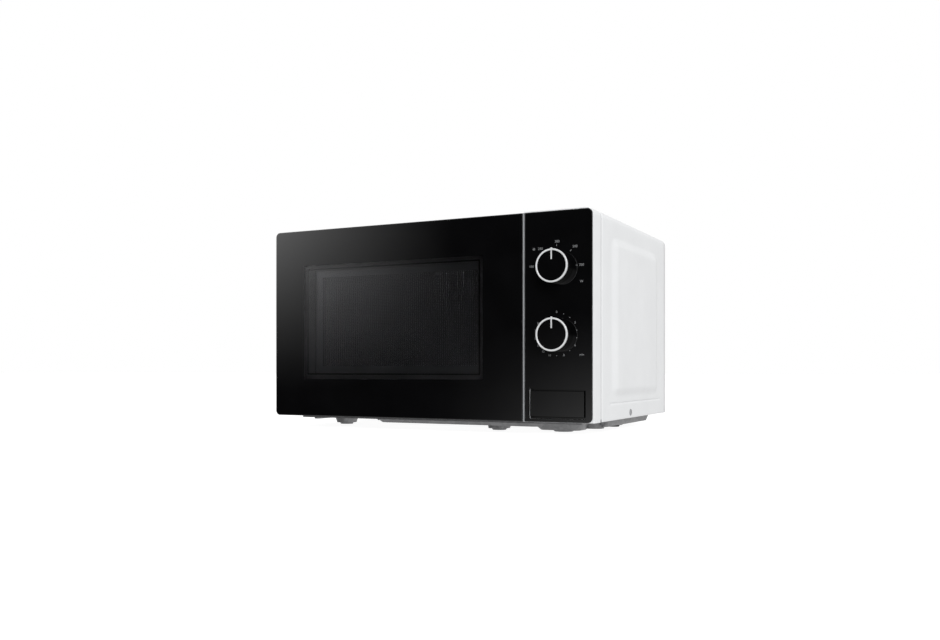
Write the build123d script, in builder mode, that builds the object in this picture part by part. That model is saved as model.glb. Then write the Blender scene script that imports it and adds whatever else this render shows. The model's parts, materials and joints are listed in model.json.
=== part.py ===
from build123d import *
import math
import os

# A 20-litre countertop microwave oven: a black glass front on a white steel cabinet, a
# side-hinged door, two dials, a push button that frees the door, and a spinning glass tray.
#
# +Z is up and the front faces -Y. The origin is under the centre of the oven, on the surface
# that its feet stand on. Inside the blocks, places are given as x, as the depth behind the
# front face of the black glass, and as the height above the lower edge of that glass.

# Overall size
BODY_WIDTH = 440.0
BODY_HEIGHT = 243.0
FOOT_DROP = 15.0
KNOB_FRONT = -17.5
SPACER_BACK = 320.0
FRONT_Y = -(SPACER_BACK + KNOB_FRONT) / 2
PANEL_Z = FOOT_DROP

# Black front
HALF_FRONT = 218.5
FRONT_HEIGHT = 241.1
FRONT_RADIUS = 6.0
EDGE_BEVEL = 0.8
DOOR_RIGHT = 134.5
TRIM_LEFT = 135.2
TRIM_RIGHT = 137.1
PANEL_LEFT = 137.7
PANEL_THICK = 2.6

# Cabinet
HALF_BODY = BODY_WIDTH / 2
BODY_BOTTOM = -0.3
CABINET_FRONT = 28.3
CABINET_BACK = 316.6
CABINET_RADIUS = 9.5
SEAM = 0.4
SHEET = 0.8
FLANGE = 13.0
FOOT_FLANGE = 5.0
PAD_RISE = 3.0

# Front plate and cooking cavity, inside faces
FRAME_FRONT = 28.4
FRAME_BACK = 29.3
CAVITY_LEFT = -199.0
CAVITY_RIGHT = 111.0
CAVITY_FLOOR = 18.0
CAVITY_TOP = 226.0
CAVITY_BACK = 310.0
CAVITY_WALL = 0.6

# Turntable
TABLE_X = (CAVITY_LEFT + CAVITY_RIGHT) / 2
TABLE_DEPTH = 170.8
TRAY_RADIUS = 127.5
TRAY_UNDERSIDE = 32.5
ROLLER_RADIUS = 7.0
ROLLER_TRACK = 95.0
ROLLER_HEIGHT = CAVITY_FLOOR + 0.25 + ROLLER_RADIUS
ROLLER_ANGLES = (90, 210, 330)

# Door
GLASS_THICK = 3.2
DOOR_BACK = 26.5
HINGE_X = -210.5
HINGE_DEPTH = 15.0
PIN_RADIUS = 3.0
RUNNING_GAP = 0.05
STILE_RIGHT = -203.0
SCREEN = (-153.0, 71.0, 64.5, 180.3)
HOOK_HEIGHTS = (70.0, 170.0)
HOOK_X = 124.0

# Dials and button
DIAL_X = 176.7
POWER_HEIGHT = 176.9
TIMER_HEIGHT = 99.6
DIAL_RADIUS = 19.0
RING_BACK = 15.1
RING_WIDTH = 1.95
SHAFT_RADIUS = 3.0
BUTTON_HOLE = (142.5, 211.1, 3.7, 38.0)
BUTTON_FACE = (144.5, 209.1, 5.7, 36.0)

# Base pan and feet: each foot is x, depth and radius
PAN_BOTTOM = 0.8
PAN_TOP = 1.6
FRONT_FEET = ((-167.0, 93.0, 9.0), (75.0, 69.0, 9.0), (157.0, 77.0, 12.0))
REAR_FEET = ((-172.0, 200.0, 9.0), (180.0, 200.0, 9.0))
BOSS_BOTTOM = -12.8
BULGE_BOTTOM = -8.5
# Hollows pressed down into the base: x and depth ranges, bottom, slope and corner radius
STAMPS = (
    (-97.0, 150.0, 34.0, 236.0, BULGE_BOTTOM, 11.0, 18.0),
    (-184.0, -150.0, 76.0, 110.0, BOSS_BOTTOM, 5.0, 13.0),
    (60.0, 90.0, 54.0, 84.0, BOSS_BOTTOM, 3.0, 11.0),
    (118.0, 196.0, 44.0, 108.0, BOSS_BOTTOM, 14.0, 14.0),
    (174.0, 208.0, 74.0, 108.0, -11.2, 6.0, 14.0),
    (-190.0, -154.0, 182.0, 218.0, BOSS_BOTTOM, 6.0, 13.0),
    (162.0, 198.0, 182.0, 218.0, BOSS_BOTTOM, 6.0, 13.0),
    (-214.4, -200.4, 74.0, 256.0, -8.4, 3.5, 4.0),
    (200.4, 214.4, 74.0, 256.0, -8.4, 3.5, 4.0),
)

# Fan
FAN_X = 166.0
FAN_HEIGHT = 151.0
FAN_RADIUS = 37.0

# Screws: x and height on the back, depth and height on the sides
REAR_SCREWS = ((-212, 228), (-80, 236), (80, 236), (212, 228), (-212, 30), (212, 30), (212, 88))
SIDE_SCREW = (146.0, 6.7)
SCREW_RADIUS = 1.5
SCREW_HOLE = 1.8
SIDE_HOLE = 4.3


def front_plane(depth):
    """Upright plane facing the front: sketch x is x and sketch y is height."""
    return Plane(origin=(0, FRONT_Y + depth, PANEL_Z), x_dir=(1, 0, 0), z_dir=(0, -1, 0))


def level_plane(height):
    """Level plane facing up: sketch x is x and sketch y is depth."""
    return Plane(origin=(0, FRONT_Y, PANEL_Z + height), x_dir=(1, 0, 0), z_dir=(0, 0, 1))


def side_plane(x):
    """Upright plane facing +X: sketch x is depth and sketch y is height."""
    return Plane(origin=(x, FRONT_Y, PANEL_Z), x_dir=(0, 1, 0), z_dir=(1, 0, 0))


def area(a0, a1, b0, b1, radius=0.0, mode=Mode.ADD):
    """Rectangle between two corners of the sketch, with rounded corners if asked."""
    with Locations(((a0 + a1) / 2, (b0 + b1) / 2)):
        if radius:
            RectangleRounded(a1 - a0, b1 - b0, radius, mode=mode)
        else:
            Rectangle(a1 - a0, b1 - b0, mode=mode)


def arch(a0, a1, b0, b1, radius):
    """Rectangle whose two upper corners alone are rounded."""
    area(a0, a1, b0 - 2 * radius, b1, radius)
    area(a0, a1, b0 - 2 * radius, b0, mode=Mode.SUBTRACT)


def block(x0, x1, d0, d1, h0, h1, mode=Mode.ADD):
    """Box between two corners given as x, depth and height."""
    centre = ((x0 + x1) / 2, FRONT_Y + (d0 + d1) / 2, PANEL_Z + (h0 + h1) / 2)
    with Locations(centre):
        Box(x1 - x0, d1 - d0, h1 - h0, mode=mode)


def rod(plane, a, b, radius, length, mode=Mode.ADD):
    """Cylinder standing on a plane at sketch point a, b. A negative length goes behind it."""
    with BuildSketch(plane) as end:
        with Locations((a, b)):
            Circle(radius)
    extrude(end.sketch, amount=length, mode=mode)


def frustum(first_plane, first, second_plane, second, mode=Mode.ADD):
    """Loft between two rounded rectangles, each on its own plane."""
    with BuildSketch(first_plane) as start:
        area(*first)
    with BuildSketch(second_plane) as end:
        area(*second)
    loft(sections=[start.sketch.face(), end.sketch.face()], mode=mode)


def stamp(x0, x1, d0, d1, bottom, slope, radius, inset, mode):
    """Tapered hollow of the base, seen from outside, or from inside with the sheet's thickness as inset."""
    top = PAN_TOP if inset else (PAN_BOTTOM + PAN_TOP) / 2
    rim = (x0 + inset, x1 - inset, d0 + inset, d1 - inset, radius)
    reach = inset + slope
    foot = (x0 + reach, x1 - reach, d0 + reach, d1 - reach, radius * 0.65)
    frustum(level_plane(top), rim, level_plane(bottom + inset), foot, mode)


# ---------------------------------------------------------------- cabinet and chassis

# One bent sheet over the top and both sides, with a raised pad pressed into each side
with BuildPart() as outer_cabinet:
    with BuildSketch(front_plane(CABINET_FRONT)):
        arch(-HALF_BODY, HALF_BODY, BODY_BOTTOM, BODY_HEIGHT, CABINET_RADIUS)
    extrude(amount=CABINET_FRONT - CABINET_BACK)
    with BuildSketch(front_plane(CABINET_FRONT)):
        inner_half = HALF_BODY - SHEET
        arch(-inner_half, inner_half, BODY_BOTTOM, BODY_HEIGHT - SHEET, CABINET_RADIUS - SHEET)
    extrude(amount=CABINET_FRONT - CABINET_BACK + SHEET, mode=Mode.SUBTRACT)
    # The back keeps a narrow flange round three sides
    rear_opening = HALF_BODY - FLANGE
    block(-rear_opening, rear_opening, 310, 320, BODY_BOTTOM, BODY_HEIGHT - FLANGE, Mode.SUBTRACT)
    # The lower edges turn inwards
    for side in (-1, 1):
        near, far = sorted((side * (HALF_BODY - SHEET / 2), side * (HALF_BODY - FOOT_FLANGE)))
        block(near, far, CABINET_FRONT, CABINET_BACK, BODY_BOTTOM, BODY_BOTTOM + SHEET)
    for side in (-1, 1):
        wall = side_plane(side * (HALF_BODY - SHEET / 2))
        crown = side_plane(side * (HALF_BODY + PAD_RISE))
        frustum(wall, (64, 275, 27, 218, 24), crown, (88, 255, 39, 206, 15))
        inner_wall = side_plane(side * (HALF_BODY - SHEET))
        inner_crown = side_plane(side * (HALF_BODY + PAD_RISE - SHEET))
        frustum(inner_wall, (65, 274, 28, 217, 23), inner_crown, (89, 254, 40, 205, 14), Mode.SUBTRACT)
        # A shallow crease runs along the foot of each side
        near, far = sorted((side * (HALF_BODY - 0.4), side * (HALF_BODY + 1)))
        block(near, far, 59.5, 289, 19.1, 20.3, Mode.SUBTRACT)
    for x, height in REAR_SCREWS:
        rod(front_plane(CABINET_BACK + 1), x, height, SCREW_HOLE, 4, Mode.SUBTRACT)
    for side in (-1, 1):
        rod(side_plane(side * (HALF_BODY + 1)), *SIDE_SCREW, SIDE_HOLE, -side * 4, Mode.SUBTRACT)
outer_cabinet.part.label = "outer_cabinet"

# Flat steel back with air slots and the hole for the cord's bush
BUSH_X = 190.0
BUSH_HEIGHT = 52.0
BUSH_RADIUS = 7.0
REAR_FRONT = 314.4
REAR_BACK = 315.3
with BuildPart() as rear_panel:
    block(-218.7, 218.7, REAR_FRONT, REAR_BACK, 2.0, 241.7)
    # The upper corners follow the cabinet's bend
    fillet(rear_panel.edges().filter_by(Axis.Y).group_by(Axis.Z)[-1], CABINET_RADIUS)
    with BuildSketch(front_plane(REAR_BACK + 1)):
        with Locations((FAN_X, FAN_HEIGHT)):
            with GridLocations(21, 7.5, 4, 11):
                SlotOverall(18, 3.2)
        with Locations((-120, 196)):
            with GridLocations(21, 7.5, 5, 5):
                SlotOverall(18, 3.2)
    extrude(amount=4, mode=Mode.SUBTRACT)
    rod(front_plane(REAR_BACK + 1), BUSH_X, BUSH_HEIGHT, BUSH_RADIUS, 4, Mode.SUBTRACT)
    for x, height in REAR_SCREWS:
        rod(front_plane(REAR_BACK + 1), x, height, SCREW_HOLE, 4, Mode.SUBTRACT)
rear_panel.part.label = "rear_panel"

# Split plastic bush that lines the cord's hole: a collar in the hole and a lip on each face
with BuildPart() as cord_bush:
    rod(front_plane(REAR_FRONT - 2), BUSH_X, BUSH_HEIGHT, 9.0, -2)
    rod(front_plane(REAR_FRONT - 0.2), BUSH_X, BUSH_HEIGHT, BUSH_RADIUS - 0.1, -2.0)
    rod(front_plane(REAR_BACK), BUSH_X, BUSH_HEIGHT, 9.0, -2.5)
    rod(front_plane(REAR_FRONT - 4), BUSH_X, BUSH_HEIGHT, 4.0, -10, Mode.SUBTRACT)
    chamfer(cord_bush.edges().filter_by(GeomType.CIRCLE).group_by(Axis.Y)[-1].sort_by(SortBy.RADIUS)[-1], 0.8)
cord_bush.part.label = "cord_bush"

# Two plastic buttons that keep the back off the wall
with BuildPart() as rear_spacers:
    for x in (-150, 150):
        rod(front_plane(CABINET_BACK), x, 236.5, 5.0, CABINET_BACK - SPACER_BACK)
    fillet(rear_spacers.edges().filter_by(GeomType.CIRCLE).group_by(Axis.Y)[-1], 1.2)
rear_spacers.part.label = "rear_spacers"

# Galvanised base: a shallow central bulge, bosses for the feet, two side rails and upturned sides
with BuildPart() as base_pan:
    block(-218.7, 218.7, 29.5, 314.2, PAN_BOTTOM, PAN_TOP)
    # Lip turned down along the front edge
    block(-196, 196, 30, 30 + SHEET, -3.6, PAN_TOP)
    for hollow in STAMPS:
        stamp(*hollow, 0, Mode.ADD)
    for hollow in STAMPS:
        stamp(*hollow, SHEET, Mode.SUBTRACT)
    for side in (-1, 1):
        near, far = sorted((side * 217.8, side * 218.7))
        block(near, far, 29.5, 314.2, PAN_BOTTOM, 14)
        rod(side_plane(side * 220), *SIDE_SCREW, SCREW_HOLE, -side * 4, Mode.SUBTRACT)
    # Air holes under the component bay
    with BuildSketch(level_plane(PAN_TOP + 1)):
        with Locations((150, 190)):
            with GridLocations(7, 7, 10, 4):
                Circle(1.8)
    extrude(amount=-4, mode=Mode.SUBTRACT)
base_pan.part.label = "base_pan"

# Moulded feet under the front and rubber feet under the back, all ending on one level
with BuildPart() as front_feet:
    for x, depth, radius in FRONT_FEET:
        rod(level_plane(BOSS_BOTTOM), x, depth, radius, -FOOT_DROP - BOSS_BOTTOM)
    chamfer(front_feet.edges().filter_by(GeomType.CIRCLE).group_by(Axis.Z)[0], 0.8)
front_feet.part.label = "front_feet"

with BuildPart() as rear_feet:
    for x, depth, radius in REAR_FEET:
        rod(level_plane(BOSS_BOTTOM), x, depth, radius, -FOOT_DROP - BOSS_BOTTOM)
    chamfer(rear_feet.edges().filter_by(GeomType.CIRCLE).group_by(Axis.Z)[0], 0.8)
rear_feet.part.label = "rear_feet"


def screw(plane, a, b, outwards):
    """Pan-head screw whose head sits on a plane, outwards along its normal, with a cross recess."""
    rod(plane, a, b, SCREW_RADIUS, -outwards * 7)
    rod(plane, a, b, 3.6, outwards * 2.2)
    with BuildSketch(plane) as cross:
        with Locations((a, b)):
            Rectangle(4.2, 0.9)
            Rectangle(0.9, 4.2)
    moved = cross.sketch.moved(Location(plane.z_dir * (outwards * 1.0)))
    extrude(moved, amount=outwards * 2, mode=Mode.SUBTRACT)


with BuildPart() as rear_screws:
    for x, height in REAR_SCREWS:
        screw(front_plane(CABINET_BACK), x, height, -1)
rear_screws.part.label = "rear_screws"

with BuildPart() as side_screws:
    for side in (-1, 1):
        screw(side_plane(side * 218.7), *SIDE_SCREW, side)
side_screws.part.label = "side_screws"

# Plate round the mouth of the cavity, with a slot for each latch hook
with BuildPart() as front_plate:
    block(-218.7, 134.0, FRAME_FRONT, FRAME_BACK, 0.8, 241.7)
    left_edges = front_plate.edges().filter_by(Axis.Y).group_by(Axis.X)[0]
    fillet(left_edges.sort_by(Axis.Z)[-1], CABINET_RADIUS)
    with BuildSketch(front_plane(FRAME_FRONT - 1)):
        area(CAVITY_LEFT, CAVITY_RIGHT, CAVITY_FLOOR, CAVITY_TOP, 6)
        for height in HOOK_HEIGHTS:
            area(HOOK_X - 6.5, HOOK_X + 6.5, height - 12, height + 12, 2)
    extrude(amount=-4, mode=Mode.SUBTRACT)
front_plate.part.label = "front_plate"

# Painted steel box of the cooking cavity, open at the front
WAVEGUIDE_MOUTH = (72.0, 144.0, 131.0, 191.0)
with BuildPart() as cavity_liner:
    wall = CAVITY_WALL
    block(CAVITY_LEFT - wall, CAVITY_RIGHT + wall, FRAME_BACK, CAVITY_BACK + wall, CAVITY_FLOOR - wall,
          CAVITY_TOP + wall)
    fillet(cavity_liner.edges().filter_by(Axis.Z).group_by(Axis.Y)[-1], 8 + wall)
    with BuildSketch(level_plane(CAVITY_FLOOR)):
        area(CAVITY_LEFT, CAVITY_RIGHT, 0, CAVITY_BACK, 8)
    extrude(amount=CAVITY_TOP - CAVITY_FLOOR, mode=Mode.SUBTRACT)
    # Shallow pressed ring that the rollers run round
    rod(level_plane(CAVITY_FLOOR - 3), TABLE_X, TABLE_DEPTH, 8.0, 6, Mode.SUBTRACT)
    with BuildSketch(side_plane(CAVITY_RIGHT - 2)):
        area(*WAVEGUIDE_MOUTH, 3)
        with Locations((250, 196)):
            with GridLocations(5, 5, 5, 5):
                Circle(1.4)
        with Locations((46, 150)):
            with GridLocations(5, 5, 3, 12):
                Circle(1.4)
    extrude(amount=4, mode=Mode.SUBTRACT)
    # Steam leaves through holes high in the left of the back wall
    with BuildSketch(front_plane(CAVITY_BACK - 2)):
        with Locations((-120, 200)):
            with GridLocations(5, 5, 12, 5):
                Circle(1.4)
    extrude(amount=-4, mode=Mode.SUBTRACT)
cavity_liner.part.label = "cavity_liner"

# Mica sheet over the waveguide's mouth, inside the cavity
with BuildPart() as waveguide_cover:
    with BuildSketch(side_plane(CAVITY_RIGHT - 0.7)):
        area(66, 150, 125, 197, 4)
    extrude(amount=0.6)
waveguide_cover.part.label = "waveguide_cover"

# ---------------------------------------------------------------- microwave source and power parts

WAVEGUIDE_LEFT = 112.0
WAVEGUIDE_RIGHT = 150.0
TUBE_DEPTH = 108.0
TUBE_HEIGHT = 161.0
with BuildPart() as waveguide:
    block(WAVEGUIDE_LEFT, WAVEGUIDE_RIGHT, 66, 150, 125, 197)
    block(WAVEGUIDE_LEFT - 1, WAVEGUIDE_RIGHT - 1, 67, 149, 126, 196, Mode.SUBTRACT)
    rod(side_plane(WAVEGUIDE_RIGHT - 3), TUBE_DEPTH, TUBE_HEIGHT, 12, 6, Mode.SUBTRACT)
waveguide.part.label = "waveguide"

# Magnetron: a folded steel frame, cooling fins, the tube with its antenna and the filter box
with BuildPart() as magnetron_frame:
    block(150.2, 206, 70, 146, 128, 196)
    block(151.7, 207, 69, 147, 129.5, 194.5, Mode.SUBTRACT)
    rod(side_plane(149), TUBE_DEPTH, TUBE_HEIGHT, 9, 6, Mode.SUBTRACT)
magnetron_frame.part.label = "magnetron_frame"

with BuildPart() as magnetron_tube:
    rod(side_plane(153), TUBE_DEPTH, TUBE_HEIGHT, 17, 50)
    rod(side_plane(124), TUBE_DEPTH, TUBE_HEIGHT, 7, 30)
    fillet(magnetron_tube.edges().filter_by(GeomType.CIRCLE).group_by(Axis.X)[0], 2)
magnetron_tube.part.label = "magnetron_tube"

with BuildPart() as magnetron_fins:
    for index in range(7):
        start = 160 + index * 6
        block(start, start + 0.7, 73, 143, 130, 194)
    rod(side_plane(158), TUBE_DEPTH, TUBE_HEIGHT, 17.05, 48, Mode.SUBTRACT)
magnetron_fins.part.label = "magnetron_fins"

with BuildPart() as filter_box:
    block(156, 203, 78, 138, 98, 127.8)
    block(157, 202, 79, 137, 97, 126.8, Mode.SUBTRACT)
filter_box.part.label = "filter_box"

# Transformer: a laminated core with two windings round its middle limb
CORE = (124.0, 204.0, 170.0, 204.0 + 30.0)
with BuildPart() as transformer_core:
    block(*CORE, PAN_TOP, 68)
    for x0, x1 in ((138, 152), (176, 190)):
        block(x0, x1, CORE[2] - 1, CORE[3] + 1, 15, 55, Mode.SUBTRACT)
    # Bolted feet at both sides
    block(118, 210, 180, 190, PAN_TOP, 4)
    block(118, 210, 214, 224, PAN_TOP, 4)
transformer_core.part.label = "transformer_core"


def winding(h0, h1):
    """Rounded coil round the core's middle limb."""
    with BuildSketch(level_plane(h0)) as turn:
        area(138.5, 189.5, 158, 246, 11)
        area(151.7, 176.3, 169.6, 234.4, mode=Mode.SUBTRACT)
    extrude(turn.sketch, amount=h1 - h0)


with BuildPart() as transformer_windings:
    winding(16, 33)
    winding(35, 54)
transformer_windings.part.label = "transformer_windings"

# High-voltage capacitor: an oval can with two tabs, held by a steel band
with BuildPart() as capacitor:
    with BuildSketch(level_plane(PAN_TOP)):
        area(131.1, 200.9, 254.1, 287.9, 16.8)
    extrude(amount=62)
    for x in (150, 182):
        block(x - 3, x + 3, 270.6, 271.4, 63, 73)
capacitor.part.label = "capacitor"

with BuildPart() as capacitor_clamp:
    with BuildSketch(level_plane(24)):
        area(129.8, 202.2, 252.8, 289.2, 18)
        area(131, 201, 254, 288, 16.9, Mode.SUBTRACT)
    extrude(amount=14)
    block(160, 172, 289, 290.2, PAN_TOP, 38)
capacitor_clamp.part.label = "capacitor_clamp"

with BuildPart() as hv_diode:
    rod(side_plane(150), 299, 6.5, 3, 15)
    rod(side_plane(141), 299, 6.5, 0.6, 33)
hv_diode.part.label = "hv_diode"

# ---------------------------------------------------------------- cooling fan

BRIDGE = (120.0, 212.0, 286.0, 290.0)
with BuildPart() as fan_shroud:
    block(118, 214, 308, 311, 103, 199)
    rod(front_plane(291), FAN_X, FAN_HEIGHT, 43, -18)
    rod(front_plane(280), FAN_X, FAN_HEIGHT, 41, -34, Mode.SUBTRACT)
    # Bridge that carries the motor
    block(*BRIDGE, 146, 156)
    for x0 in (118, 210):
        block(x0, x0 + 4, BRIDGE[2], 309, 146, 156)
    rod(front_plane(285), FAN_X, FAN_HEIGHT, 2.4, -6, Mode.SUBTRACT)
fan_shroud.part.label = "fan_shroud"

with BuildPart() as fan_motor:
    block(146, 186, 262, 276, 134, 180)
    rod(front_plane(256), FAN_X, FAN_HEIGHT, 11, -29.9)
    rod(front_plane(270), FAN_X, FAN_HEIGHT, 2.05, -20, Mode.SUBTRACT)
fan_motor.part.label = "fan_motor"

with BuildPart() as fan_blade:
    rod(front_plane(293), FAN_X, FAN_HEIGHT, 11, -12)
    rod(front_plane(272), FAN_X, FAN_HEIGHT, 2.0, -22)
    # Five pitched vanes, each a twisted plate between two arcs
    for index in range(5):
        angle = 360 / 5 * index
        hub = Plane(origin=(FAN_X, FRONT_Y + 299, PANEL_Z + FAN_HEIGHT), x_dir=(0, 1, 0),
                    z_dir=(math.cos(math.radians(angle)), 0, math.sin(math.radians(angle))))
        with BuildSketch(hub.offset(9)) as root:
            Rectangle(1.4, 13, rotation=40)
        with BuildSketch(hub.offset(FAN_RADIUS)) as tip:
            Rectangle(1.2, 24, rotation=28)
        loft(sections=[root.sketch.face(), tip.sketch.face()])
fan_blade.part.label = "fan_blade"

# ---------------------------------------------------------------- small electrical parts

with BuildPart() as lamp_socket:
    block(113, 131, 214, 238, 186, 206)
    rod(front_plane(236), 122, 196, 8.5, -6)
lamp_socket.part.label = "lamp_socket"

with BuildPart() as lamp_bulb:
    rod(front_plane(242), 122, 196, 7.5, -22)
    fillet(lamp_bulb.edges().filter_by(GeomType.CIRCLE).group_by(Axis.Y)[-1], 7)
lamp_bulb.part.label = "lamp_bulb"

with BuildPart() as thermal_cutout:
    rod(side_plane(WAVEGUIDE_LEFT), 200, 76, 9, 3)
    rod(side_plane(WAVEGUIDE_LEFT), 200, 76, 7, 8)
thermal_cutout.part.label = "thermal_cutout"

with BuildPart() as noise_filter_board:
    block(112.2, 208, 226, 284, 212, 213.6)
    rod(level_plane(213.6), 150, 250, 10, 14)
    block(172, 196, 234, 252, 213.6, 226)
    rod(side_plane(170), 270, 217, 3, 24)
    block(170, 173, 266, 274, 213.6, 219)
    block(191, 194, 266, 274, 213.6, 219)
noise_filter_board.part.label = "noise_filter_board"

# Carrier behind the front plate with a door switch at each hook and one between them
with BuildPart() as interlock_bracket:
    block(113, 133.6, FRAME_BACK, 31.3, 45, 195)
    block(131.6, 133.6, FRAME_BACK, 62, 45, 195)
    for height in HOOK_HEIGHTS:
        block(HOOK_X - 6.5, HOOK_X + 6.5, 28, 33, height - 12, height + 12, Mode.SUBTRACT)
    block(130, 135, 38, 46, 49, 61, Mode.SUBTRACT)
interlock_bracket.part.label = "interlock_bracket"

with BuildPart() as interlock_switches:
    for height in (70, 120, 170):
        block(117, 131.6, 47, 59, height - 9, height + 9)
        rod(front_plane(47), 124, height + 3, 1.4, 1.2)
interlock_switches.part.label = "interlock_switches"

# Clockwork timer and power selector, one behind each dial
SELECTOR_FRONT = 7.1


def dial_unit(height, back, half):
    """Square switch unit with a bore for the dial's shaft."""
    block(DIAL_X - 25, DIAL_X + 25, SELECTOR_FRONT, back, height - half, height + half)
    rod(front_plane(SELECTOR_FRONT - 1), DIAL_X, height, SHAFT_RADIUS + RUNNING_GAP, -20, Mode.SUBTRACT)


with BuildPart() as timer_unit:
    dial_unit(TIMER_HEIGHT, 46, 25)
    rod(front_plane(46), DIAL_X + 10, TIMER_HEIGHT - 8, 13, -6)
timer_unit.part.label = "timer_unit"

with BuildPart() as power_selector:
    dial_unit(POWER_HEIGHT, 34, 22)
power_selector.part.label = "power_selector"

with BuildPart() as turntable_motor:
    rod(level_plane(-2), TABLE_X, TABLE_DEPTH, 24.5, 16)
    block(TABLE_X - 32, TABLE_X + 32, TABLE_DEPTH - 5, TABLE_DEPTH + 5, 14, 17.2)
    rod(level_plane(-1), TABLE_X, TABLE_DEPTH, SHAFT_RADIUS + RUNNING_GAP, 30, Mode.SUBTRACT)
turntable_motor.part.label = "turntable_motor"

# ---------------------------------------------------------------- control front

# White housing at the right of the door, open at the back
with BuildPart() as control_box:
    with BuildSketch(front_plane(PANEL_THICK)):
        arch(TRIM_LEFT + 0.3, HALF_BODY, BODY_BOTTOM, BODY_HEIGHT, CABINET_RADIUS)
        # The corner beside the door is square
        area(TRIM_LEFT + 0.3, TRIM_LEFT + 14, BODY_HEIGHT - 14, BODY_HEIGHT)
    extrude(amount=PANEL_THICK - CABINET_FRONT + SEAM)
    chamfer(control_box.faces().sort_by(Axis.Y)[0].edges(), 0.5)
    chamfer(control_box.faces().sort_by(Axis.Y)[-1].edges(), 0.5)
    with BuildSketch(front_plane(SELECTOR_FRONT)):
        arch(TRIM_LEFT + 2.3, HALF_BODY - 2, BODY_BOTTOM + 2, BODY_HEIGHT - 2, CABINET_RADIUS - 2)
    extrude(amount=-30, mode=Mode.SUBTRACT)
    with BuildSketch(front_plane(PANEL_THICK - 2)):
        area(*BUTTON_HOLE)
        for height in (POWER_HEIGHT, TIMER_HEIGHT):
            with Locations((DIAL_X, height)):
                Circle(SHAFT_RADIUS + 1.0)
    extrude(amount=-10, mode=Mode.SUBTRACT)
    # Small notch at the foot of the seam
    block(HALF_BODY - 1.5, HALF_BODY + 1, 26.2, 29, BODY_BOTTOM - 1, 3.2, Mode.SUBTRACT)
    # Ridge above the button that stiffens the front
    block(PANEL_LEFT, HALF_FRONT - 2, SELECTOR_FRONT - 0.5, 14, 48, 50)
control_box.part.label = "control_box"

# Black gloss plate over the housing
with BuildPart() as control_panel:
    with BuildSketch(front_plane(0)):
        area(PANEL_LEFT, HALF_FRONT, 0, FRONT_HEIGHT)
    extrude(amount=-PANEL_THICK)
    fillet(control_panel.edges().filter_by(Axis.Y).group_by(Axis.X)[-1], FRONT_RADIUS)
    chamfer(control_panel.faces().sort_by(Axis.Y)[0].edges(), EDGE_BEVEL)
    with BuildSketch(front_plane(-1)):
        area(*BUTTON_HOLE, 1.5)
        for height in (POWER_HEIGHT, TIMER_HEIGHT):
            with Locations((DIAL_X, height)):
                Circle(SHAFT_RADIUS + 1.0)
    extrude(amount=-PANEL_THICK - 2, mode=Mode.SUBTRACT)
control_panel.part.label = "control_panel"

with BuildPart() as panel_trim:
    block(TRIM_LEFT, TRIM_RIGHT, -0.3, PANEL_THICK, 0, FRONT_HEIGHT)
    fillet(panel_trim.edges().filter_by(Axis.Z).group_by(Axis.Y)[0], 0.6)
panel_trim.part.label = "panel_trim"


def dial_body(height):
    """Slightly tapered black dial with a step for the ring, and its shaft."""
    with BuildSketch(front_plane(-0.6)) as base:
        with Locations((DIAL_X, height)):
            Circle(DIAL_RADIUS + 0.2)
    extrude(base.sketch, amount=14.5, taper=1.5)
    rod(front_plane(-14), DIAL_X, height, DIAL_RADIUS - RING_WIDTH - RUNNING_GAP, 2.8)
    rod(front_plane(-2), DIAL_X, height, SHAFT_RADIUS, -24)


def dial_ring(height):
    """Bright ring let into the rim of a dial."""
    rod(front_plane(-RING_BACK), DIAL_X, height, DIAL_RADIUS, -KNOB_FRONT - RING_BACK)
    rod(front_plane(-14), DIAL_X, height, DIAL_RADIUS - RING_WIDTH, 6, Mode.SUBTRACT)
    block(DIAL_X - 0.75, DIAL_X + 0.75, -18, -15, height + 10, height + 22, Mode.SUBTRACT)


def dial_pointer(height):
    """Bright line on the face of a dial that runs out through a notch in the ring."""
    block(DIAL_X - 0.7, DIAL_X + 0.7, KNOB_FRONT, -16.8, height + 7.0, height + DIAL_RADIUS + 1.0)
    block(DIAL_X - 0.7, DIAL_X + 0.7, KNOB_FRONT, -15.2, height + DIAL_RADIUS - RING_WIDTH + 0.2, height + DIAL_RADIUS + 1.0)


with BuildPart() as power_knob:
    dial_body(POWER_HEIGHT)
power_knob.part.label = "power_knob"

with BuildPart() as power_knob_ring:
    dial_ring(POWER_HEIGHT)
    chamfer(power_knob_ring.faces().sort_by(Axis.Y)[0].edges().filter_by(GeomType.CIRCLE), 0.5)
power_knob_ring.part.label = "power_knob_ring"

with BuildPart() as power_knob_pointer:
    dial_pointer(POWER_HEIGHT)
power_knob_pointer.part.label = "power_knob_pointer"

with BuildPart() as timer_knob:
    dial_body(TIMER_HEIGHT)
timer_knob.part.label = "timer_knob"

with BuildPart() as timer_knob_ring:
    dial_ring(TIMER_HEIGHT)
    chamfer(timer_knob_ring.faces().sort_by(Axis.Y)[0].edges().filter_by(GeomType.CIRCLE), 0.5)
timer_knob_ring.part.label = "timer_knob_ring"

with BuildPart() as timer_knob_pointer:
    dial_pointer(TIMER_HEIGHT)
timer_knob_pointer.part.label = "timer_knob_pointer"

# Push button that frees the door: a hollow cap, a stop flange and a plunger
with BuildPart() as open_button:
    left, right, low, high = BUTTON_FACE
    with BuildSketch(front_plane(0.4)):
        area(left, right, low, high, 1.5)
    extrude(amount=-8)
    chamfer(open_button.faces().sort_by(Axis.Y)[0].edges(), 0.6)
    block(left + 2, right - 2, 3.4, 9, low + 2, high - 2, Mode.SUBTRACT)
    block(139.5, 213.5, 7.4, 9.0, 2.4, 40.5)
    block(146, 152, 8.5, 27, 16, 24)
open_button.part.label = "open_button"

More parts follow.
